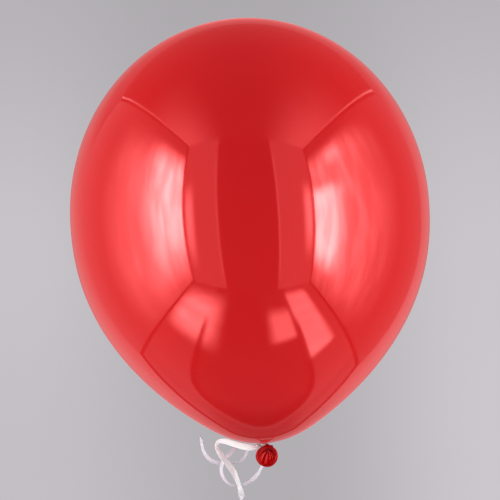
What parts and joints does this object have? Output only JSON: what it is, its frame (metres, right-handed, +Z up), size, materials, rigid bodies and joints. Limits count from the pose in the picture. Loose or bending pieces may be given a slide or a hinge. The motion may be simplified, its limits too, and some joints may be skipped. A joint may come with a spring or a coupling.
{
  "type": "latex balloon",
  "caption": "Inflated glossy red latex balloon, knotted at the neck, with a flared nozzle and a pale curling ribbon tied on.",
  "frame": {"origin": "centre of the neck, at the height where the ribbon is tied round it", "axes": "+Z up the axis of the balloon to its crown; -Y is the way that the nozzle's mouth faces; the ribbon hangs on the -X side"},
  "size_m": [0.283, 0.283, 0.4568],
  "materials": {
    "latex_skin": "high gloss, slightly translucent",
    "latex_gathered": "glossy, wrinkled where it is gathered",
    "latex_lip": "glossy rolled bead",
    "ribbon": "pearly white, ribbed along its length",
    "ribbon_tie": "pearly white"
  },
  "bodies": {
    "balloon": {"envelope": "latex_skin", "neck": "latex_gathered", "neck_knot": "latex_gathered"},
    "nozzle_flap": {"nozzle": "latex_gathered", "rolled_lip": "latex_lip"},
    "ribbon": {"ribbon_wrap": "ribbon", "ribbon_knot": "ribbon", "ribbon_strand": "ribbon"},
    "short_curl": {"ribbon_curl": "ribbon"},
    "hanging_tail": {"ribbon_tail": "ribbon", "ribbon_coil": "ribbon", "coil_tie": "ribbon_tie"}
  },
  "joints": [
    {"name": "nozzle_bend", "type": "hinge", "parent": "balloon", "child": "nozzle_flap", "pos_m": [0.001, 0, -0.0076], "axis": [1, 0, 0], "range_deg": [-3, 60], "stiffness_Nm_per_rad": 0.0005},
    {"name": "ribbon_swivel", "type": "hinge", "parent": "balloon", "child": "ribbon", "pos_m": [0, 0, 0], "axis": [0, 0, 1], "range_deg": [-60, 30]},
    {"name": "curl_spring", "type": "hinge", "parent": "ribbon", "child": "short_curl", "pos_m": [-0.0034, 0.0046, -0.0006], "axis": [1, 0, 0], "range_deg": [-10, 12], "stiffness_Nm_per_rad": 0.0001},
    {"name": "tail_swing", "type": "hinge", "parent": "ribbon", "child": "hanging_tail", "pos_m": [-0.0205, -0.0045, -0.0372], "axis": [1, 0, 0], "range_deg": [-60, 60]}
  ]
}
